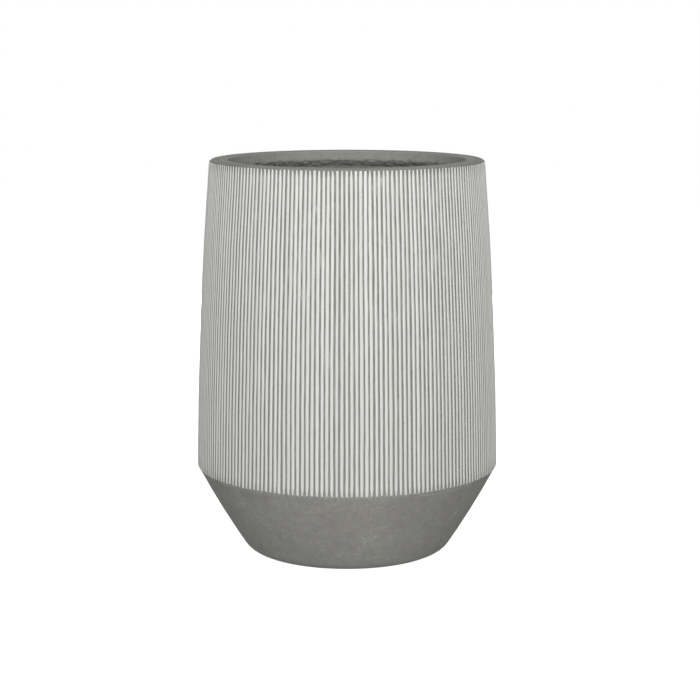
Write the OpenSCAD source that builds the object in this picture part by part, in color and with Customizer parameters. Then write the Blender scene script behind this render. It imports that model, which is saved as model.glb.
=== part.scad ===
// Tall round planter in hand-laid fibre cement. A bowed upright wall stands on a
// coned base, a thick collar is built up inside the rim, off-white ribs run up
// the wall from shoulder to rim, and a rubber stopper closes the drain hole.
// The pot stands on the ground at z = 0 with its axis on Z.

/* [Body] */
// Overall height
pot_height = 520; // [440:5:600]
// Outside diameter at the shoulder, where the wall meets the base, over the ribs
shoulder_d = 400; // [340:5:460]
// Outside diameter at the rim, over the ribs
rim_d = 360; // [310:5:420]
// Height of the shoulder above the ground
shoulder_height = 115; // [90:1:140]
// How far the wall bows out from a straight line
wall_bow = 3.5; // [0:0.5:10]
// Thickness of the wall
wall = 12; // [9:0.5:16]
// Radius that softens the shoulder edge
shoulder_round = 11; // [2:0.5:16]

/* [Base] */
// Lean of the base from upright, in degrees
base_lean = 30.6; // [24:0.1:36]
// How far the base bows out from a straight line
base_bow = 2.3; // [0:0.1:5]
// Radius of the round between base and foot
foot_round = 26; // [12:1:40]
// Thickness of the floor above the hollow under the foot
floor_t = 16; // [12:1:26]
// Radius of the round inside, between floor and base
floor_round = 22; // [8:1:30]
// Width of the ring that the pot stands on
foot_ring = 16; // [10:1:22]
// Depth of the hollow under the foot
foot_hollow = 3; // [1:0.5:6]

/* [Rim] */
// Width of the flat rim, from its outer edge to the mouth
rim_width = 24.5; // [20:0.5:34]
// Radius that softens the outer edge of the rim
rim_round = 4; // [1:0.5:8]
// Height of the collar's face inside the mouth
lip_height = 11; // [7:0.5:24]
// Radius that softens the collar's upper edge
lip_round = 2; // [0.5:0.5:4]
// How much further the collar reaches down at the wall than at its face
lip_haunch = 5; // [1:0.5:12]

/* [Ribs] */
// Number of ribs around the wall
rib_count = 200; // [120:1:220]
// How far a rib stands proud of the groove beside it
rib_height = 0.9; // [0.5:0.1:2]
// Width of the groove between two ribs
groove_w = 2.3; // [1.4:0.1:3]
// Length of the narrowing at each end of a rib
rib_tip = 6; // [3:0.5:15]
// Share of its width that a rib keeps at its blunt ends
tip_share = 0.5; // [0.2:0.1:0.9]
// Share of the shoulder's round that the ribs run over
foot_wrap = 0.6; // [0:0.1:1]
// Share of the rim's round that the ribs run over
head_wrap = 0.5; // [0:0.1:0.6]
// How far a rib's end stops short of the end of its bed
tip_gap = 0.3; // [0.3:0.1:2]

/* [Drain] */
// Diameter of the drain hole
drain_d = 28; // [18:1:40]
// Gap all round between the stopper and the hole
plug_gap = 0.1; // [0.05:0.05:0.4]
// How much narrower the stopper is at its lower end, in diameter
plug_taper = 2; // [0.5:0.5:4]
// How far the stopper's end stays above the foot's hollow
plug_short = 1; // [0.5:0.5:5]
// Overhang of the stopper's flange round the hole
flange_lap = 8; // [4:1:14]
// Thickness of the stopper's flange
flange_t = 4; // [3:0.5:7]
// Radius that softens the flange's upper edge
flange_round = 1.5; // [0.5:0.5:2.5]
// Width of the stopper's pull tab
tab_w = 16; // [10:1:18]
// Height of the pull tab above the flange
tab_h = 20; // [19:1:32]
// Thickness of the pull tab
tab_t = 5; // [3:0.5:8]

/* [Hidden] */

$fn = 96;
bow_steps = 4;
round_steps = 6;

cement_grey = [0.52, 0.52, 0.50];
rib_white = [0.88, 0.88, 0.86];
rubber_black = [0.10, 0.10, 0.10];

shoulder_r = shoulder_d / 2;
rim_r = rim_d / 2;
mouth_r = rim_r - rim_width;
drain_r = drain_d / 2;
inside_floor = foot_hollow + floor_t;

// Outer radius of the wall at a height, over the ribs: a straight line plus a shallow bow
function wall_r(z) =
    let (t = (z - shoulder_height) / (pot_height - shoulder_height))
    shoulder_r + (rim_r - shoulder_r) * t + 4 * wall_bow * t * (1 - t);

// Radius of the base at a height, before its edges are rounded: a cone plus a shallow bow
function base_r(z) =
    let (t = z / shoulder_height)
    shoulder_r - rib_height - (shoulder_height - z) * tan(base_lean) + 4 * base_bow * t * (1 - t);

// Radius of the base inside, one wall thickness in from the outer cone
function base_inside_r(z) = base_r(z) - wall / cos(base_lean);

// Heights spaced evenly from one to another, both ends included
function stations(low, high, steps) = [for (i = [0 : steps]) low + (high - low) * i / steps];

// The same heights without their ends
function between(low, high, steps) = slice(stations(low, high, steps), 1, steps - 1);

function slice(list, first, last) = [for (i = [first : last]) list[i]];

function unit(v) = v / norm(v);

// Points of the round that replaces a corner between two straight edges
function round_corner(before, corner, after, radius) =
    let (
        u = unit(before - corner),
        v = unit(after - corner),
        half = acos(u * v) / 2,
        centre = corner + unit(u + v) * radius / sin(half),
        first = corner + u * radius / tan(half) - centre,
        turn = sign(cross(v, u)) * (180 - 2 * half)
    )
    [for (i = [0 : round_steps])
        let (a = turn * i / round_steps)
        centre + [first.x * cos(a) - first.y * sin(a), first.x * sin(a) + first.y * cos(a)]];

function reverse(list) = [for (i = [len(list) - 1 : -1 : 0]) list[i]];

// A line of points moved to its right by a distance
function beside(points, distance) =
    let (end = len(points) - 1)
    [for (i = [0 : end])
        let (along = unit(points[min(i + 1, end)] - points[max(i - 1, 0)]))
        points[i] + distance * [along.y, -along.x]];

// The inside of the wall, from the inner shoulder up to the foot of the collar
lip_foot = pot_height - lip_height - lip_haunch;
inner_shoulder = shoulder_height + wall * (1 / cos(base_lean) - 1) / tan(base_lean);
inner_wall = [for (z = stations(inner_shoulder, lip_foot, bow_steps)) [wall_r(z) - wall, z]];
inner_top = [rim_r - wall, pot_height];

// The outside of the shell, from the foot up to the rim, with its edges rounded
base_line = [for (z = between(0, shoulder_height, bow_steps)) [base_r(z), z]];
bed_line = [for (z = between(shoulder_height, pot_height, bow_steps)) [wall_r(z) - rib_height, z]];
base_top = base_line[len(base_line) - 1];
bed_top = bed_line[len(bed_line) - 1];
foot_points = round_corner([0, 0], [base_r(0), 0], base_line[0], foot_round);
shoulder_points =
    round_corner(base_top, [shoulder_r - rib_height, shoulder_height], bed_line[0], shoulder_round);
rim_points = round_corner(bed_top, [rim_r - rib_height, pot_height], inner_top, rim_round);
foot_r = foot_points[0].x;

// The stretch of the shell that carries the ribs, and the ribs' own outer line
rib_under = concat(
    slice(shoulder_points, round(round_steps * (1 - foot_wrap)), round_steps),
    bed_line,
    slice(rim_points, 0, round(round_steps * head_wrap))
);
rib_over = beside(rib_under, rib_height);
rib_low = min([for (p = rib_over) p.y]);
rib_high = max([for (p = rib_over) p.y]);

module shell_section() {
    floor_corner = [base_inside_r(inside_floor), inside_floor];
    outside = concat(
        [[foot_r - foot_ring, foot_hollow], [foot_r - foot_ring, 0]],
        foot_points,
        base_line,
        shoulder_points,
        bed_line,
        rim_points
    );
    inside = concat(
        [inner_top],
        reverse(inner_wall),
        round_corner(inner_wall[0], floor_corner, [drain_r, inside_floor], floor_round)
    );
    polygon(concat([[drain_r, foot_hollow]], outside, inside, [[drain_r, inside_floor]]));
}

module collar_section() {
    face_foot = [mouth_r, pot_height - lip_height];
    face_head = [mouth_r, pot_height];
    polygon(concat(
        [inner_top],
        round_corner(inner_top, face_head, face_foot, lip_round),
        [face_foot, inner_wall[bow_steps]]
    ));
}

// Half the width of a rib at a height, what the grooves leave of its share
function rib_half(z) = PI * wall_r(z) / rib_count - groove_w / 2;

// The narrowing of a rib towards one blunt end
function tip_points(base_z, end_z) =
    let (half = rib_half(base_z), blunt = half * tip_share)
    [[half, base_z], [blunt, end_z], [-blunt, end_z], [-half, base_z]];

// One rib, standing on the wall over the X axis: its side view cut to its front view
module rib() {
    reach = max(shoulder_r, rim_r) + wall_bow;
    intersection() {
        rotate([90, 0, 0])
            linear_extrude(2 * PI * reach / rib_count, center = true)
                polygon(concat(rib_over, reverse(rib_under)));
        rotate([90, 0, 90])
            linear_extrude(reach)
                polygon(concat(
                    tip_points(rib_high - rib_tip, rib_high - tip_gap),
                    reverse(tip_points(rib_low + rib_tip, rib_low + tip_gap))
                ));
    }
}

module pot_shell() {
    color(cement_grey)
        rotate_extrude()
            shell_section();
}

module rim_collar() {
    color(cement_grey)
        rotate_extrude()
            collar_section();
}

module rib_coat() {
    color(rib_white)
        for (i = [0 : rib_count - 1])
            rotate([0, 0, 360 * i / rib_count])
                rib();
}

// A tapered stopper that hangs in the drain hole by its flange
module plug_body() {
    top_r = drain_r - plug_gap;
    end_r = top_r - plug_taper / 2;
    flange_r = drain_r + flange_lap;
    edge = [flange_r, inside_floor + flange_t];
    rotate_extrude()
        polygon(concat(
            [[0, foot_hollow + plug_short], [end_r, foot_hollow + plug_short]],
            [[top_r, inside_floor], [flange_r, inside_floor]],
            round_corner([flange_r, inside_floor], edge, [0, edge.y], flange_round),
            [[0, edge.y]]
        ));
}

// An upright tongue with a round head, to pull the stopper by
module plug_tab() {
    foot = inside_floor + flange_t - flange_round;
    head = inside_floor + flange_t + tab_h - tab_w / 2;
    rotate([90, 0, 0])
        linear_extrude(tab_t, center = true) {
            translate([-tab_w / 2, foot])
                square([tab_w, head - foot]);
            translate([0, head])
                circle(d = tab_w);
        }
}

module drain_plug() {
    color(rubber_black) {
        plug_body();
        plug_tab();
    }
}

pot_shell();
rim_collar();
rib_coat();
drain_plug();
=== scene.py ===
# %% [markdown]
# # A tall ribbed planter
# The real pot is a hand-laid casting of grey fibre cement. Some two hundred upright ribs of an
# off-white mineral coat stand on its wall, a thicker collar is built up inside the mouth, and a
# rubber stopper closes the drain hole.
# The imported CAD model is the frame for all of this. It gives every place and size, and this lesson
# adds what a hand, a comb and some wear leave behind.

# %% Load the frame
import math
import random

import bmesh
import bpy
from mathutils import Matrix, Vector, noise


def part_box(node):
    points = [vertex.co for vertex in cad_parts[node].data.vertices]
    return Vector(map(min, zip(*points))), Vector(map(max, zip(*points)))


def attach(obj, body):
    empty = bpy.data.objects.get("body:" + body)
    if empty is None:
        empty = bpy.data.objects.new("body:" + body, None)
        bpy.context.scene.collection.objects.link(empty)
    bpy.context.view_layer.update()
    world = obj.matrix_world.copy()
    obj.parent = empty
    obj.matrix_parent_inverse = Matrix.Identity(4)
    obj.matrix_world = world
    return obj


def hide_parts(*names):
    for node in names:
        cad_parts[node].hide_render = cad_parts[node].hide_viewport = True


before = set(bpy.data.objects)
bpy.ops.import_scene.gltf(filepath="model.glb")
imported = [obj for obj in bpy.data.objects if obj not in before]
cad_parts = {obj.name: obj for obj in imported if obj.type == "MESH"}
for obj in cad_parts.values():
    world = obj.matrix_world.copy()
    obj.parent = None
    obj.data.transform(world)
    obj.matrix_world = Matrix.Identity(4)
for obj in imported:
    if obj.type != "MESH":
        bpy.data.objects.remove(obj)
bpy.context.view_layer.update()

mm = 0.001
scene = bpy.context.scene


# %% [markdown]
# ## Camera
# A camera can be nudged by eye until the picture fits, or worked out. Here the rim's and the
# shoulder's ellipses in the photograph gave the height, the distance and the focal length, so the
# pot needs no shift of the lens and other views stay undistorted. The focal length is in pixels of
# the photograph, the sensor in millimetres and the places in metres.

# %% Camera
photo_side = 700
focal_pixels = 1921.6
sensor_width = 36
camera_distance = 2.5174
camera_height = 0.6987
camera_aside = 0.0039
camera_dip = math.radians(9.75)

lens = bpy.data.cameras.new("photo_camera")
lens.sensor_width = sensor_width
lens.lens = sensor_width * focal_pixels / photo_side
camera = bpy.data.objects.new("photo_camera", lens)
camera.location = (camera_aside, -camera_distance, camera_height)
camera.rotation_euler = (math.pi / 2 - camera_dip, 0, 0)
scene.collection.objects.link(camera)
scene.camera = camera
scene.view_settings.view_transform = "Standard"
print(f"Camera: {lens.lens:.1f} mm lens, {camera_distance:.2f} m away, {camera_height:.2f} m high")

# %% [markdown]
# ## Shader maths as Python
# A shader is a graph of small sums, and built node by node it takes pages. A class that wraps one
# output socket and overloads Python's operators lets a sum be written as a sum: `1 - mask` adds the
# Math node itself. Every other kind of node comes from one method, which sets the node's settings
# first, because they decide which sockets it has.


# %% Sockets that can be added and multiplied
def pick(sockets, name):
    """A node's socket by its number or name, or its first one in use."""
    if isinstance(name, int):
        return sockets[name]
    return next(s for s in sockets if s.enabled and name in (None, s.name))


class Wire:
    """One output of a node, with shader sums written as Python operators."""

    def __init__(self, tree, socket=None):
        self.tree = tree
        self.socket = socket

    def node(self, kind, settings=None, values=None, output=None):
        """Add a node: its settings, then its sockets' values or wires. Gives one of its outputs."""
        made = self.tree.nodes.new(kind)
        for name, value in (settings or {}).items():
            setattr(made, name, value)
        for name, value in (values or {}).items():
            socket = pick(made.inputs, name)
            if isinstance(value, Wire):
                self.tree.links.new(value.socket, socket)
            else:
                socket.default_value = value
        return Wire(self.tree, pick(made.outputs, output)) if made.outputs else made

    def maths(self, operation, first, second):
        """Add a Math node that works on two numbers or wires."""
        return self.node("ShaderNodeMath", {"operation": operation}, {0: first, 1: second})

    def __add__(self, other):
        return self.maths("ADD", self, other)

    def __radd__(self, other):
        return self.maths("ADD", other, self)

    def __sub__(self, other):
        return self.maths("SUBTRACT", self, other)

    def __rsub__(self, other):
        return self.maths("SUBTRACT", other, self)

    def __mul__(self, other):
        return self.maths("MULTIPLY", self, other)

    def __rmul__(self, other):
        return self.maths("MULTIPLY", other, self)


def empty_graph(owner):
    """Clear the nodes of a material or a world, and give a wire to start from."""
    owner.use_nodes = True
    owner.node_tree.nodes.clear()
    return Wire(owner.node_tree)


def paint(red, green, blue):
    """A colour as a screen shows it, 0 to 255, in the linear values that shaders use (sRGB curve)."""
    def linear(level):
        level = level / 255
        return level / 12.92 if level <= 0.04045 else ((level + 0.055) / 1.055) ** 2.4
    return (linear(red), linear(green), linear(blue), 1)


print("Shader sums ready, mid grey 128 is", round(paint(128, 128, 128)[0], 3), "in linear light")

# %% [markdown]
# ## Studio
# The photograph was taken in soft light from the front and shows the pot on plain white. One large
# lamp near the camera gives the fall of light towards the pot's sides. An even white sky and a table
# top that glows faintly fill in the rest and keep the foot from going dark. Two more lamps stand low
# behind the pot, where the photograph hardly sees what they do, and light the back and sides for
# anyone who walks round. A weaker one hangs above and shines down to the stopper.
# The sky and the floor show as white to the camera through Light Path, so the white needs no extra
# light on the pot, and the floor still darkens where the pot shades it.


# %% Shaders of the studio
def seen_directly(start):
    """1 for rays that make the picture or its reflections, 0 for rays that carry light."""
    path = start.node("ShaderNodeLightPath").socket.node
    camera_ray, glossy_ray, clear_ray = [
        Wire(start.tree, path.outputs[f"Is {kind} Ray"]) for kind in ("Camera", "Glossy", "Transmission")]
    return start.maths("MAXIMUM", camera_ray, start.maths("MAXIMUM", glossy_ray, clear_ray))


def even_grey(level):
    """A grey of one linear level."""
    return (level, level, level, 1)


def glowing_matt(start, grey, strength):
    """A matt grey surface that also glows white by itself."""
    matt = start.node("ShaderNodeBsdfDiffuse", None, {"Color": even_grey(grey)})
    glow = start.node("ShaderNodeEmission", None, {"Color": even_grey(1), "Strength": strength})
    return start.node("ShaderNodeAddShader", None, {0: matt, 1: glow})


print("White of the sky and of the floor's glow:", even_grey(1))

# %% Sky and floor
sky_light = 0.14
table_grey = 0.25
table_light = 0.22
floor_shown = 0.90
floor_glow = 0.87
floor_reach = 6.0

world = bpy.data.worlds.new("white_sky")
scene.world = world
sky = empty_graph(world)
sky_strength = sky_light + (1 - sky_light) * seen_directly(sky)
sky_shader = sky.node("ShaderNodeBackground", None, {"Color": even_grey(1), "Strength": sky_strength})
sky.node("ShaderNodeOutputWorld", None, {"Surface": sky_shader})

floor_paint = bpy.data.materials.new("white_floor")
ground = empty_graph(floor_paint)
lit_floor = glowing_matt(ground, table_grey, table_light)
shown_floor = glowing_matt(ground, floor_shown, floor_glow)
floor_mix = ground.node("ShaderNodeMixShader", None,
                        {0: seen_directly(ground), 1: lit_floor, 2: shown_floor})
ground.node("ShaderNodeOutputMaterial", None, {"Surface": floor_mix})

corners = [(x * floor_reach, y * floor_reach, 0) for x, y in ((-1, -1), (1, -1), (1, 1), (-1, 1))]
floor_mesh = bpy.data.meshes.new("studio_floor")
floor_mesh.from_pydata(corners, [], [(0, 1, 2, 3)])
floor_mesh.materials.append(floor_paint)
floor = bpy.data.objects.new("studio_floor", floor_mesh)
scene.collection.objects.link(floor)
print(f"Floor {2 * floor_reach:.0f} m square, sky at {sky_light}")

# %% Softboxes
softbox_size = 0.9
softbox_target = Vector((0, 0, 0.30))
front_place = Vector((0.05, -2.4, 1.15))
front_watts = 44
back_aside = 0.82
back_distance = 2.25
back_watts = 27
top_place = Vector((0, 0, 3.0))
top_watts = 13


def add_softbox(name, place, watts):
    """A large square lamp at a place, turned towards the pot."""
    lamp = bpy.data.lights.new(name, "AREA")
    lamp.shape = "SQUARE"
    lamp.size = softbox_size
    lamp.energy = watts
    stand = bpy.data.objects.new(name, lamp)
    stand.location = place
    stand.rotation_euler = (softbox_target - place).to_track_quat("-Z", "Y").to_euler()
    scene.collection.objects.link(stand)
    print(f"{name}: {watts} W, {(softbox_target - place).length:.2f} m from the pot")


add_softbox("front_softbox", front_place, front_watts)
for side, name in ((-1, "back_left_softbox"), (1, "back_right_softbox")):
    add_softbox(name, Vector((side * back_aside, back_distance, softbox_target.z)), back_watts)
add_softbox("top_softbox", top_place, top_watts)

# %% [markdown]
# ## Sections out of the frame
# The shell and the collar are turned forms, so each is one outline swept round the axis. The outline
# could be typed in again, but then it could drift from the CAD model. Cutting the CAD mesh with a
# plane through the axis and walking along the cut gives the outline that the CAD model really has.


# %% Half section of a CAD node
weld = mm / 1000


def welded(node):
    """A copy of a CAD node's mesh to cut or count, with its doubled points joined."""
    copy = bmesh.new()
    copy.from_mesh(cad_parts[node].data)
    bmesh.ops.remove_doubles(copy, verts=copy.verts, dist=weld)
    return copy


def sides(outline):
    """The sides of a closed outline, each as the points at its two ends."""
    return zip(outline, outline[1:] + outline[:1])


def half_section(node):
    """Outline of a CAD node right of the axis, where y = 0: anticlockwise, as (radius, height)."""
    cut = welded(node)
    whole = cut.verts[:] + cut.edges[:] + cut.faces[:]
    sliced = bmesh.ops.bisect_plane(cut, geom=whole, dist=weld, plane_no=(0, 1, 0))["geom_cut"]
    beside = {}
    for edge in sliced:
        if isinstance(edge, bmesh.types.BMEdge) and all(v.co.x > 0 for v in edge.verts):
            a, b = edge.verts
            beside.setdefault(a, []).append(b)
            beside.setdefault(b, []).append(a)
    trail = [min(beside, key=lambda v: v.co.z)]
    ahead = beside[trail[0]][0]
    while ahead is not trail[0]:
        trail.append(ahead)
        a, b = beside[ahead]
        ahead = b if a is trail[-2] else a
    outline = [Vector((v.co.x, v.co.z)) for v in trail]
    cut.free()
    turn = sum(p.x * q.y - q.x * p.y for p, q in sides(outline))
    return outline if turn > 0 else outline[::-1]


shell_outline = half_section("pot_shell")
collar_outline = half_section("rim_collar")
rib_outline = half_section("rib_coat")
print("Points in the outlines:", len(shell_outline), len(collar_outline), len(rib_outline))

# %% Measures of the frame
touch = 0.1 * mm
widest_within = 0.5 * mm


def radii_at(outline, height):
    """Least and greatest radius of an outline at a height."""
    found = []
    for p, q in sides(outline):
        if p.y != q.y and min(p.y, q.y) <= height <= max(p.y, q.y):
            found.append(p.x + (q.x - p.x) * (height - p.y) / (q.y - p.y))
    return min(found), max(found)


rim_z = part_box("pot_shell")[1].z
shoulder_r = max(p.x for p in shell_outline)
shoulder_z = min(p.y for p in shell_outline if p.x > shoulder_r - widest_within)
drain_r = min(p.x for p in shell_outline)
foot_hollow = min(p.y for p in shell_outline if p.x < drain_r + touch)
rib_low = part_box("rib_coat")[0].z
rib_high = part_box("rib_coat")[1].z
mouth_r = min(p.x for p in collar_outline)
collar_low = min(p.y for p in collar_outline)
collar_back = max(p.x for p in collar_outline)
stopper_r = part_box("drain_plug")[1].x
print(f"Rim at {rim_z / mm:.1f}, shoulder {shoulder_z / mm:.1f} high and {shoulder_r / mm:.1f} out,",
      f"mouth {mouth_r / mm:.1f}, ribs {rib_low / mm:.1f} to {rib_high / mm:.1f} mm")

# %% [markdown]
# ## Turned skins
# Blender's Screw modifier could sweep an outline, but every point here also needs its own small push,
# so the sweep is written as two loops. Long straight stretches are first split into rows, close
# together where the surface is lumpy and wide apart where it is plain. A chart of angle against length
# along the outline is kept as a UV map, so that the finish can be baked evenly.


# %% Rows along an outline
def turned(radius, angle, height):
    """The point at a radius and a height, turned about the pot's axis."""
    return radius * math.cos(angle), radius * math.sin(angle), height


class Row:
    """One ring of a turned skin: where it lies, which way is out, and its share along the outline."""

    def __init__(self, point, out, along):
        self.radius, self.height = point
        self.out = out
        self.along = along

    def at(self, angle):
        """The ring's place at an angle."""
        return Vector(turned(self.radius, angle, self.height))


def make_rows(outline, spacing):
    """Split an outline into rows about spacing(point) apart, with no rest under half a step."""
    points = []
    for p, q in sides(outline):
        length = (q - p).length
        done = 0
        while done < length:
            points.append(p.lerp(q, done / length))
            step = spacing(points[-1])
            rest = length - done - step
            done = done + step if rest > step / 2 else length
    lengths = [(q - p).length for p, q in sides(points)]
    rows = []
    for i, point in enumerate(points):
        along = (points[(i + 1) % len(points)] - points[i - 1]).normalized()
        rows.append(Row(point, Vector((along.y, -along.x)), sum(lengths[:i]) / sum(lengths)))
    return rows


collar_row = 1.2 * mm
collar_rows = make_rows(collar_outline, lambda point: collar_row)
print(f"The collar's outline has {len(collar_rows)} rows, about {collar_row / mm:.1f} mm apart")

# %% Turned skins and pieces
sharp_edge = math.radians(40)


def turn_skin(rows, shape, turns):
    """Points, faces and chart of rows swept round in steps; shape gives each (radius, height)."""
    verts, faces, chart = [], [], []
    for row in rows:
        for step in range(turns):
            angle = math.tau * step / turns
            radius, height = shape(row, angle)
            verts.append(turned(radius, angle, height))
    for i, row in enumerate(rows):
        upper = (i + 1) % len(rows)
        top = rows[upper].along if upper else 1
        for step in range(turns):
            after = (step + 1) % turns
            faces.append([ring * turns + s for ring, s in
                          ((i, step), (i, after), (upper, after), (upper, step))])
            left, right = step / turns, (step + 1) / turns
            chart += [(left, row.along), (right, row.along), (right, top), (left, top)]
    return verts, faces, chart


def add_piece(name, verts, faces, chart, node, body, slot, sharp=sharp_edge):
    """Make a smooth mesh piece that stands for a CAD node and rides on its body."""
    mesh = bpy.data.meshes.new(name)
    mesh.from_pydata(verts, [], faces)
    mesh.uv_layers.new(name="OFBake").uv.foreach_set("vector", [n for place in chart for n in place])
    mesh.shade_smooth()
    mesh.set_sharp_from_angle(angle=sharp)
    made = bpy.data.objects.new(name, mesh)
    scene.collection.objects.link(made)
    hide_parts(node)
    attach(made, body)
    print(f"{name}: {len(verts)} points, {len(faces)} faces")
    return made


def mark(piece, name, values):
    """Store one value at each point of a piece, for its finish to read."""
    piece.data.attributes.new(name, "FLOAT", "POINT").data.foreach_set("value", values)


print(f"Edges over {math.degrees(sharp_edge):.0f} degrees stay sharp")

# %% [markdown]
# ## Shell
# The shell is laid up by hand in a mould and rubbed down outside, so it is close to true there, with
# soft dents that only show in the light. Inside it is left as the trowel left it, with clods of the mix
# under the collar. Both come from noise. Outside, the noise only ever pushes into the material, which
# keeps the pot inside its CAD size. Round the drain the floor stays true, because the stopper's flange
# has to lie on it, and under the shoulder a faint crease from the mould runs a short part of the way
# round.


# %% Dents left by hand
dent_depth = 0.20 * mm
dent_size = 95 * mm
ripple_depth = 0.07 * mm
ripple_size = 20 * mm
trowel_depth = 1.1 * mm
trowel_size = 34 * mm
lump_depth = 0.9 * mm
lump_size = 9 * mm
lot_step = 17.3


def wave(at, size, lot=0):
    """Smooth noise from 0 to 1 with features of a given size; lot picks an independent one."""
    return 0.5 + 0.5 * noise.noise(at / size + Vector((0, 0, lot_step * lot)))


def dent(at):
    """How far the rubbed-down outside falls short of its true form at a place."""
    return dent_depth * wave(at, dent_size) + ripple_depth * wave(at, ripple_size, lot=1)


def trowelled(at):
    """How far the trowelled inside falls short of its true form at a place."""
    return trowel_depth * wave(at, trowel_size, lot=2) + lump_depth * wave(at, lump_size, lot=3) ** 2


def ease(start, end, value):
    """0 before start, 1 after end, and a smooth rise between; start may be the larger."""
    t = min(1, max(0, (value - start) / (end - start)))
    return t * t * (3 - 2 * t)


print(f"Dents up to {(dent_depth + ripple_depth) / mm:.2f} mm deep outside,",
      f"trowel marks up to {(trowel_depth + lump_depth) / mm:.2f} mm inside")

# %% Rows of the shell
outside_row = 7 * mm
inside_row = 8 * mm
rough_row = 2.5 * mm
rough_band = 45 * mm
skin_depth = 4 * mm
crease_width = 0.8 * mm
crease_drop = 4.2 * mm
# How far a surface's outward direction has to tip to count as leaning in or out, or as facing up
leaning = 0.2
facing_up = 0.7


def faces_inward(row):
    """True on the pot's inner wall, inner cone and floor."""
    in_wall = row.out.x < -leaning and row.height > foot_hollow + touch
    on_floor = row.out.y > facing_up and row.height < shoulder_z / 2
    return in_wall or on_floor


def shell_spacing(point):
    """Rows close together at the crease and under the collar, and wide apart elsewhere."""
    level = min(max(point.y, 2 * touch), rim_z)
    outside = radii_at(shell_outline, level)[1]
    if point.x < outside - skin_depth:
        return rough_row if point.y > collar_low - rough_band else inside_row
    from_crease = abs(point.y - shoulder_z + crease_drop)
    return min(outside_row, max(crease_width / 2, from_crease / 2))


shell_rows = make_rows(shell_outline, shell_spacing)
print(len(shell_rows), "rows,", sum(faces_inward(row) for row in shell_rows), "of them inside")

# %% Shell
shell_turns = 440
seam = 1.0 * mm
crease_depth = 0.8 * mm
crease_middle = math.radians(-43)
crease_reach = math.radians(28)
comb_bite = 0.35 * mm
comb_start = 6 * mm
comb_full = 20 * mm
clod_depth = 2.4 * mm
clod_size = 9 * mm
clod_gap = 3 * mm
clod_edge = (0.4, 0.7)


def comb_depth(height):
    """How much deeper than the CAD wall the comb bit at a height: nothing near the ribs' ends."""
    from_end = min(height - rib_low, rib_high - height)
    return comb_bite * ease(comb_start, comb_full, from_end)


def crease_share(angle):
    """1 along the middle of the crease, running out to 0 at both its ends."""
    aside = abs((angle - crease_middle + math.pi) % math.tau - math.pi)
    return ease(crease_reach, crease_reach / 2, aside)


def shape_shell(row, angle):
    """Radius and height of the shell's surface where a row passes an angle."""
    at = row.at(angle)
    behind_collar = row.height > collar_low + seam and row.radius < collar_back + seam
    if row.height > rim_z - touch:
        return row.radius, row.height - dent(at)
    if behind_collar or row.height < foot_hollow + touch:
        return row.radius, row.height
    if faces_inward(row):
        near_collar = ease(collar_low - rough_band, collar_low - clod_gap, row.height)
        clods = clod_depth * near_collar * ease(*clod_edge, wave(at, clod_size, lot=7))
        depth = (trowelled(at) - clods) * ease(stopper_r, 2 * stopper_r, row.radius)
    else:
        below = shoulder_z - crease_drop - row.height
        crease = math.exp(-(below / crease_width) ** 2) * crease_share(angle)
        depth = dent(at) + crease_depth * crease + comb_depth(row.height)
    return row.radius - depth * row.out.x, row.height - depth * row.out.y


shell_skin = turn_skin(shell_rows, shape_shell, shell_turns)
shell = add_piece("shell", *shell_skin, "pot_shell", "pot", "cement")
rubbed_rows = [0.0 if faces_inward(row) else 1.0 for row in shell_rows]
mark(shell, "rubbed", [share for share in rubbed_rows for _ in range(shell_turns)])

# %% [markdown]
# ## Collar
# The collar is a band of stiff mix that was pressed on inside the mouth. Its face and top are rubbed
# smooth. Its lower edge is left as it set, a torn round nose that looks dark because it faces away from
# the light. It is turned from its own section like the shell. A Bevel modifier would round the edge
# too, but here each row of the edge is laid along a curve that starts level with the face and runs back
# to the wall, and lumps that grow towards the wall come in the same step. The collar's back sits a
# little way inside the wall so that no gap can show.


# %% Collar
collar_turns = 720
face_foot = min(p.y for p in collar_outline if p.x < mouth_r + touch)
nose_depth = collar_back - mouth_r
nose_start = 1.0 * mm
nose_sag = 6.0 * mm
nose_drop = face_foot - collar_low + nose_sag - nose_start
nose_curl = 1.4
torn_depth = 2.0 * mm
torn_size = 16 * mm
torn_bits = 4.5 * mm
torn_share = 0.3
torn_edge = (0.36, 0.64)
torn_lead = 0.2
back_bite = 1.2 * mm
back_lead = 4 * mm
foot_lead = 2 * mm


def nose_share(row):
    """0 on the collar's face, rising to 1 where its torn lower edge meets the wall."""
    return max(0, row.radius - mouth_r) / nose_depth if row.height <= face_foot else 0


def shape_collar(row, angle):
    """Radius and height of the collar's surface where a row passes an angle."""
    at = row.at(angle)
    if row.height > rim_z - touch:
        return row.radius, row.height - dent(at)
    share = nose_share(row)
    torn = torn_share * wave(at, torn_size, lot=5) + (1 - torn_share) * wave(at, torn_bits, lot=6)
    push = torn_depth * (ease(*torn_edge, torn) - 0.5) * ease(0, torn_lead, share)
    if row.out.x > leaning:
        sink = back_bite * ease(rim_z, rim_z - back_lead, row.height)
        at_foot = ease(collar_low + foot_lead, collar_low, row.height)
        return row.radius + sink, row.height - (nose_sag + push) * at_foot
    if share == 0:
        return row.radius + dent(at), row.height
    radius = mouth_r + nose_depth * share ** nose_curl - push * (1 - share)
    return radius + dent(at), face_foot - nose_start - nose_drop * share - push * share


collar_skin = turn_skin(collar_rows, shape_collar, collar_turns)
collar = add_piece("collar", *collar_skin, "rim_collar", "pot", "cement")
mark(collar, "rubbed", [1.0] * len(collar.data.vertices))

# %% [markdown]
# ## Ribs
# A coarse comb was drawn up the wet coat, so it is the grooves that were made, and a rib is what two
# grooves leave between them. The ribs are built the same way round: each groove gets its own wandering
# line and its own width, which sometimes closes up, and each rib fills the room between two grooves.
# An array of one perfect rib would be shorter, and would look like moulded plastic.


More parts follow.
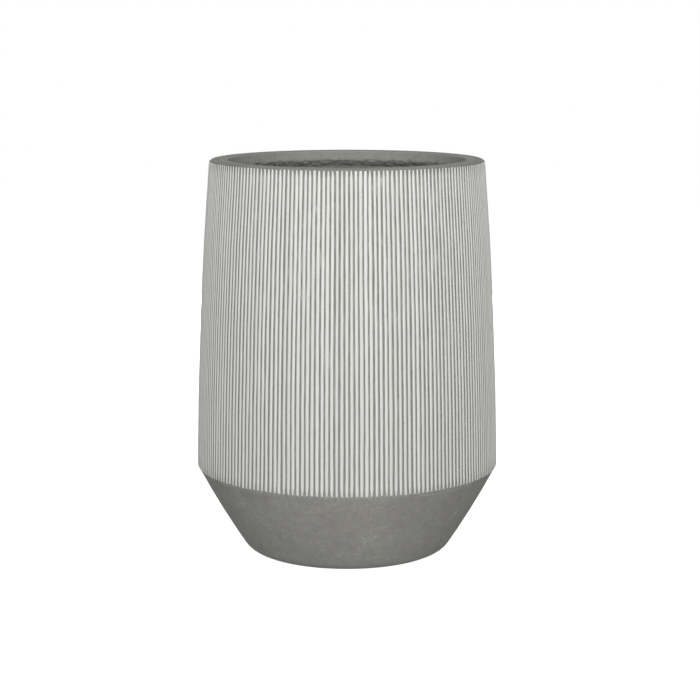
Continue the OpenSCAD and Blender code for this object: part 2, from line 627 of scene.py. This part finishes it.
# %% Count the ribs
def count_solids(node):
    """Separate solids in a CAD node, counted by walking along the edges of one after another."""
    coat = welded(node)
    waiting = set(coat.verts)
    count = 0
    while waiting:
        count += 1
        reached = [waiting.pop()]
        while reached:
            vert = reached.pop()
            fresh = {edge.other_vert(vert) for edge in vert.link_edges} & waiting
            waiting -= fresh
            reached += fresh
    coat.free()
    return count


rib_count = count_solids("rib_coat")
print(f"{rib_count} ribs counted in the frame")

# %% Grooves of the comb
comb_seed = 11
draw = random.Random(comb_seed)
groove_spread = [draw.uniform(-1, 1) for _ in range(rib_count)]
groove_width = 1.05 * mm
least_share = 0.1
spread_share = 0.42
drift = 0.65 * mm
drift_size = 160 * mm
wobble = 0.25 * mm
wobble_size = 30 * mm
swell_share = 0.40
swell_size = 26 * mm
flutter_share = 0.20
flutter_size = 9 * mm
clog_share = 3.5
clog_size = 75 * mm
clog_start = 0.46
# Steps through the noise from one groove to the next, and from one kind of change to the next
groove_step = 3.7
change_step = 8


def groove(number, height):
    """How far a groove's middle wanders to the side, and how wide it is, at a height."""
    def change(size, lot):
        return noise.noise(Vector((groove_step * number, change_step * lot, height / size)))
    aside = drift * change(drift_size, lot=0) + wobble * change(wobble_size, lot=1)
    share = 1 + spread_share * groove_spread[number] + swell_share * change(swell_size, lot=2)
    share += flutter_share * change(flutter_size, lot=3)
    share -= clog_share * max(0, change(clog_size, lot=4) - clog_start)
    return aside, groove_width * max(least_share, share)


middle_z = (rib_low + rib_high) / 2
middle_widths = [groove(number, middle_z)[1] for number in range(rib_count)]
print(f"Grooves {min(middle_widths) / mm:.2f} to {max(middle_widths) / mm:.2f} mm wide at half height")

# %% One rib
rib_rows = 79
tip_rows = 11
tip_length = 11 * mm
tip_crowding = 1.3
tip_round = 1.0 * mm
least_tip = 0.3
rib_sink = 0.35 * mm
# Half of a rib's section: share of its half width, and of its height, or None for a foot in the wall
half_profile = [(1, None), (0.71, 0.52), (0.26, 0.97)]
rib_profile = [(-across, rise) for across, rise in half_profile] + half_profile[::-1]
rib_pitch = math.tau / rib_count


def rib_heights(low, high):
    """Heights of a rib's rows, close together in its tips."""
    tip = [tip_length * (i / tip_rows) ** tip_crowding for i in range(tip_rows)]
    middle = rib_rows - 2 * tip_rows
    span = high - low - 2 * tip_length
    rows = [low + t for t in tip]
    rows += [low + tip_length + span * i / (middle - 1) for i in range(middle)]
    return rows + [high - t for t in reversed(tip)]


def tip_share(from_end, blunt):
    """Share of its full width that a rib has at a distance from its blunt, rounded end."""
    narrowing = blunt + (1 - blunt) * ease(0, tip_length, from_end)
    rounding = 1 - min(1, from_end / tip_round)
    return narrowing * max(least_tip, math.sqrt(1 - rounding ** 2))


def rib_row(number, height, share):
    """Points across one rib at one height, at a share of its full width; its feet lie in the wall."""
    foot, face = radii_at(rib_outline, height)
    foot -= comb_depth(height)
    left_aside, left_width = groove(number - 1, height)
    right_aside, right_width = groove(number, height)
    left = -rib_pitch / 2 + (left_aside + left_width / 2) / face
    right = rib_pitch / 2 + (right_aside - right_width / 2) / face
    points = []
    for across, rise in rib_profile:
        angle = number * rib_pitch + (left + right) / 2 + across * share * (right - left) / 2
        radius = foot - rib_sink if rise is None else foot + (face - foot) * rise
        radius -= dent(Vector(turned(face, angle, height)))
        points.append(turned(radius, angle, height))
    return points


print(f"Ribs {rib_pitch * shoulder_r / mm:.1f} mm apart at the shoulder,",
      f"each with {rib_rows} rows of {len(rib_profile)} points")

# %% All ribs
head_gap = 1.0 * mm
end_spread = 0.8 * mm
blunt_range = (0.4, 0.9)
rib_sharp_edge = math.radians(70)
storeys = 2
columns = math.ceil(rib_count / storeys)


def rib_skin(number, first):
    """Faces of one rib whose points start at first, and their chart: ribs side by side in storeys."""
    faces, chart = [], []
    across = len(rib_profile)
    storey, column = divmod(number, columns)
    for i in range(rib_rows - 1):
        for k in range(across):
            after = (k + 1) % across
            faces.append([first + row * across + side for row, side in
                          ((i, k), (i, after), (i + 1, after), (i + 1, k))])
            left, right = ((column + n / across) / columns for n in (k, k + 1))
            lower, upper = ((storey + n / (rib_rows - 1)) / storeys for n in (i, i + 1))
            chart += [(left, lower), (right, lower), (right, upper), (left, upper)]
    for row, order in ((0, -1), (rib_rows - 1, 1)):
        faces.append([first + row * across + k for k in range(across)][::order])
        chart += [((column + 0.5) / columns, storey / storeys)] * across
    return faces, chart


rib_verts, rib_faces, rib_chart, rib_crown, rib_lot = [], [], [], [], []
for number in range(rib_count):
    low = rib_low + draw.uniform(0, end_spread)
    high = rib_high - head_gap - draw.uniform(0, end_spread)
    tone = draw.random()
    blunt = draw.uniform(*blunt_range)
    faces, chart = rib_skin(number, len(rib_verts))
    rib_faces += faces
    rib_chart += chart
    for height in rib_heights(low, high):
        share = tip_share(min(height - low, high - height), blunt)
        rib_verts += rib_row(number, height, share)
        rib_crown += [rise or 0 for _, rise in rib_profile]
        rib_lot += [tone] * len(rib_profile)
ribs = add_piece("ribs", rib_verts, rib_faces, rib_chart, "rib_coat", "pot", "white_coat", rib_sharp_edge)
mark(ribs, "crown", rib_crown)
mark(ribs, "lot", rib_lot)

# %% [markdown]
# ## Finishes
# All three finishes are made from layers of noise in the object's own coordinates, at the sizes that
# the real surface shows: broad clouds, blotches the width of a finger, grains and pores. Image
# textures would need files, and would stretch over the turned forms. All three are dull, so their shine
# is set below Blender's own value, which would pale the pot where it turns away from the eye.


# %% Places and patterns
def place_in(start):
    """Place on the object, in metres."""
    return start.node("ShaderNodeTexCoord", None, None, "Object")


def height_of(place):
    """Height of a place above the ground."""
    return place.node("ShaderNodeSeparateXYZ", None, {"Vector": place}, "Z")


def stored(start, name):
    """A value that was stored at the points of the mesh."""
    return start.node("ShaderNodeAttribute", {"attribute_name": name}, None, "Fac")


def stretched(place, level=1, upright=1):
    """A place with its level or upright axes scaled, to draw a pattern out into streaks."""
    scale = (level, level, upright)
    return place.node("ShaderNodeVectorMath", {"operation": "MULTIPLY"}, {0: place, 1: scale})


def cloud(place, size, detail=2, rough=0.5):
    """Noise from 0 to 1 with features of a given size."""
    return place.node("ShaderNodeTexNoise", None, {
        "Vector": place, "Scale": 1 / size, "Detail": detail, "Roughness": rough})


def rise_between(value, low, high):
    """0 below low, 1 above high, with a smooth rise; low may be the larger."""
    return value.node("ShaderNodeMapRange", {"interpolation_type": "SMOOTHSTEP"},
                      {"Value": value, "From Min": low, "From Max": high})


def weighed(*layers):
    """Sum of patterns, each given with its share."""
    share, pattern = layers[0]
    total = share * pattern
    for share, pattern in layers[1:]:
        total = total + share * pattern
    return total


def centred(*layers):
    """The same sum less half of all shares, so that noise swings about 0."""
    return weighed(*layers) - sum(share for share, _ in layers) / 2


print(f"Patterns are laid out in metres, from the ground up to {rim_z:.2f} at the rim")

# %% Colours and shader
dull_shine = 0.2


def blend(factor, first, second):
    """Mix two colours by a factor."""
    return factor.node("ShaderNodeMix", {"data_type": "RGBA"},
                       {"Factor": factor, "A": first, "B": second})


def relief(height, depth):
    """Normals bent by a height pattern of a given depth in metres."""
    return height.node("ShaderNodeBump", None, {"Strength": 1.0, "Distance": depth, "Height": height})


def dull_surface(start, colour, roughness, normal):
    """Join colour, roughness and normals in the one dull shader that all finishes share."""
    shader = start.node("ShaderNodeBsdfPrincipled", None, {
        "Base Color": colour, "Roughness": roughness, "Normal": normal,
        "Specular IOR Level": dull_shine})
    start.node("ShaderNodeOutputMaterial", None, {"Surface": shader})


def dress(piece, finish):
    """Put a finish on a piece."""
    piece.data.materials.append(finish)
    print(f"{finish.name} on the {piece.name}: {len(finish.node_tree.nodes)} nodes")


print("Shine of every finish:", dull_shine)

# %% [markdown]
# ## Cement
# Cured fibre cement is a warm mid grey, cloudy where the mix was wetter and finely speckled with sand
# and air pores. White from the coat stays as specks on the rubbed shoulder and as smears in the
# grooves, more of it higher up, where the smears also stand in as painted light. The inside is darker
# by painted shade, and the collar's face is paler by painted light.

# %% What is left of the coat on the wall
groove_grey = paint(130, 129, 125)
coat_white = paint(239, 240, 235)
groove_tint = 0.7
groove_fade = (rib_low + 2 * mm, rib_low + 10 * mm)
comb_line = 2.0 * mm
comb_stretch = 0.06
haze_edge = (0.45, 0.65)
smear_edge = (0.40, 0.80)
smear_fade = (rib_high - 3 * mm, rib_high - 14 * mm)
smear_least = 0.12
smear_and_light_higher = 0.14
smear_haze = 0.45
worn_fade = (shoulder_z - 7 * mm, shoulder_z)
worn_end = (rib_low + 4 * mm, rib_low)
speck_size = 1.8 * mm
speck_edge = (0.5, 0.7)
speck_share = 0.45
wall_span = rib_high - rib_low


def leave_coat(place, grey, clouds, rubbed, on_rim):
    """Grey with smears of the white coat in the grooves and specks of it on the shoulder."""
    height = height_of(place)
    up_wall = (height - rib_low) * (1 / wall_span)
    in_grooves = rubbed * rise_between(height, *groove_fade) * (1 - on_rim)
    grey = blend(groove_tint * in_grooves, grey, groove_grey)
    combed = cloud(stretched(place, upright=comb_stretch), comb_line)
    # Haze and smears grow towards the top of the wall: partly coat left in the grooves, partly painted
    # light that is brighter higher up
    haze = rise_between(clouds, *haze_edge) * up_wall
    white_share = smear_least + smear_and_light_higher * up_wall + smear_haze * haze
    smears = in_grooves * rise_between(combed, *smear_edge) * white_share
    smears = smears * rise_between(height, *smear_fade)
    worn = rise_between(height, *worn_fade) * rise_between(height, *worn_end)
    specks = worn * rubbed * rise_between(cloud(place, speck_size), *speck_edge)
    return blend(smears + speck_share * specks, grey, coat_white)


print(f"The coat was laid over {wall_span / mm:.0f} mm of the wall's height")

# %% Cement
cement_dark = paint(126, 125, 121)
cement_grey = paint(148, 147, 142)
cement_pale = paint(180, 179, 173)
# Painted light: a paler grey for the collar's face than for the rim's top
collar_lit_grey = paint(164, 163, 157)
pore_grey = paint(100, 99, 96)
# Painted shade: the dark grey that the pot's inside is darkened towards
inside_shade_grey = paint(88, 87, 84)
cloud_size = 60 * mm
blotch_size = 11 * mm
grit_size = 3.2 * mm
sand_size = 1.4 * mm
scuff_size = 1.6 * mm
scuff_stretch = 0.12
tone_reach = 0.45
pore_size = 2.2 * mm
pore_edge = (0.77, 0.84)
pore_tint = 0.4
inside_shade_tint = 0.38
rim_fade = (rim_z - 1.2 * mm, rim_z - 0.4 * mm)
cement_relief = 0.35 * mm
cement_rough = 0.9


def make_cement(name, mid_grey, coated):
    """Grey cement; where it carries the coat, with what is left of it in grooves and on the shoulder."""
    material = bpy.data.materials.new(name)
    start = empty_graph(material)
    place = place_in(start)
    clouds = cloud(place, cloud_size, detail=3)
    blotches = cloud(place, blotch_size, detail=3)
    grit = cloud(place, grit_size)
    sand = cloud(place, sand_size, detail=1)
    scuffs = cloud(stretched(place, level=scuff_stretch), scuff_size)
    pores = rise_between(cloud(place, pore_size, detail=0), *pore_edge)
    rubbed = stored(start, "rubbed")
    on_rim = rise_between(height_of(place), *rim_fade)

    tone = centred((0.5, clouds), (0.5, blotches), (0.45, grit), (0.7, sand), (0.2, scuffs))
    # On the collar this keeps the face at its paler painted-light grey and gives the rim's top the plain
    # cement grey; on the shell it changes nothing
    grey = blend(on_rim, mid_grey, cement_grey)
    grey = blend(rise_between(tone, -tone_reach, 0), cement_dark, grey)
    grey = blend(rise_between(tone, 0, tone_reach), grey, cement_pale)
    grey = blend(pore_tint * pores, grey, pore_grey)
    # Painted shade: where rubbed is 0, on the pot's inside, the grey is darkened
    grey = blend(inside_shade_tint * (1 - rubbed), grey, inside_shade_grey)
    if coated:
        grey = leave_coat(place, grey, clouds, rubbed, on_rim)
    grain = weighed((0.6, sand), (0.3, blotches), (-0.6, pores))
    dull_surface(start, grey, cement_rough, relief(grain, cement_relief))
    return material


dress(shell, make_cement("shell_cement", cement_grey, coated=True))
dress(collar, make_cement("collar_cement", collar_lit_grey, coated=False))

# %% [markdown]
# ## White coat
# The coat is a chalky off-white. Each rib dried to its own tone, the comb left fine lines along it,
# and the edges were rubbed thin, so the grey under it shows at the feet of the ribs and in small
# chips. Two values stored on the mesh, how near a point is to the crown and which lot the rib is,
# carry what the material can't know from a place alone.

# %% White coat
coat_shade = paint(227, 228, 223)
coat_low_shade = paint(205, 206, 201)
coat_thin = groove_grey
line_size = 0.9 * mm
line_stretch = 0.05
patch_size = 16 * mm
patch_stretch = 0.4
grain_size = 1.3 * mm
tone_edge = (0.3, 0.9)
low_shade_tint = 0.35
thin_edge = (0.60, 0.38)
thin_tint = 0.9
thin_waver = 0.3
chip_size = 3.0 * mm
chip_edge = (0.70, 0.78)
chip_tint = 0.5
coat_relief = 0.25 * mm
coat_rough = 0.85


def make_white_coat():
    """Chalky off-white in a tone of each rib's own, darker lower down by painted shade, and thin at the
    ribs' feet.
    """
    material = bpy.data.materials.new("white_coat")
    start = empty_graph(material)
    place = place_in(start)
    lines = cloud(stretched(place, upright=line_stretch), line_size)
    patches = cloud(stretched(place, upright=patch_stretch), patch_size, detail=3)
    grain = cloud(place, grain_size)
    chips = rise_between(cloud(place, chip_size), *chip_edge)
    thin = rise_between(stored(start, "crown") + thin_waver * grain - thin_waver / 2, *thin_edge)
    down_wall = (rib_high - height_of(place)) * (1 / wall_span)

    tone = weighed((0.35, stored(start, "lot")), (0.5, patches), (0.3, lines))
    white = blend(rise_between(tone, *tone_edge), coat_shade, coat_white)
    # Painted shade: the white grows darker towards the bottom of the wall
    white = blend(low_shade_tint * down_wall, white, coat_low_shade)
    white = blend(thin_tint * thin, white, coat_thin)
    white = blend(chip_tint * chips, white, coat_thin)
    chalk = weighed((0.5, grain), (0.4, lines), (-0.5, chips))
    dull_surface(start, white, coat_rough, relief(chalk, coat_relief))
    return material


dress(ribs, make_white_coat())

# %% [markdown]
# ## Stopper
# The stopper is a moulded rubber plug with a flange and a pull tab. Its CAD solid has the right form
# but the knife-sharp edges of a drawing. A copy of it is remeshed into small even squares and
# smoothed, which rounds every edge and fills every inner corner a little, as a mould does. Bevels would
# do the same one edge at a time.

# %% Stopper
rubber_square = 0.5 * mm
smoothing_share = 0.5
smoothing_passes = 5


def moulded_copy(name, node):
    """A copy of a CAD node's mesh in small even faces, with all edges softened."""
    piece = bpy.data.objects.new(name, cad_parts[node].data.copy())
    scene.collection.objects.link(piece)
    piece.data.materials.clear()
    remesh = piece.modifiers.new("even_faces", "REMESH")
    remesh.mode = "VOXEL"
    remesh.voxel_size = rubber_square
    soften = piece.modifiers.new("soft_edges", "SMOOTH")
    soften.factor = smoothing_share
    soften.iterations = smoothing_passes
    softened = piece.evaluated_get(bpy.context.evaluated_depsgraph_get())
    piece.data = bpy.data.meshes.new_from_object(softened)
    piece.modifiers.clear()
    piece.data.shade_smooth()
    return piece


stopper = moulded_copy("stopper", "drain_plug")
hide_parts("drain_plug")
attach(stopper, "stopper")
print(f"stopper: {len(stopper.data.vertices)} points, {len(stopper.data.polygons)} faces")

# %% [markdown]
# ## Rubber
# Moulded rubber is a matt black that greys with dust, and where dust lies it shines less. One noise
# drives both, so that the pale spots are also the dull ones.

# %% Rubber
rubber_black = paint(38, 38, 38)
rubber_dust = paint(96, 94, 90)
dust_size = 7 * mm
dust_edge = (0.45, 0.75)
rubber_tint = 0.45
rubber_rough = 0.5
dust_rough = 0.35
rubber_grain = 0.8 * mm
rubber_relief = 0.08 * mm


def make_rubber():
    """Matt black rubber with patches of pale, dull dust."""
    material = bpy.data.materials.new("rubber")
    start = empty_graph(material)
    place = place_in(start)
    dust = rise_between(cloud(place, dust_size, detail=4, rough=0.6), *dust_edge)
    colour = blend(rubber_tint * dust, rubber_black, rubber_dust)
    normal = relief(cloud(place, rubber_grain), rubber_relief)
    dull_surface(start, colour, rubber_rough + dust_rough * dust, normal)
    return material


dress(stopper, make_rubber())
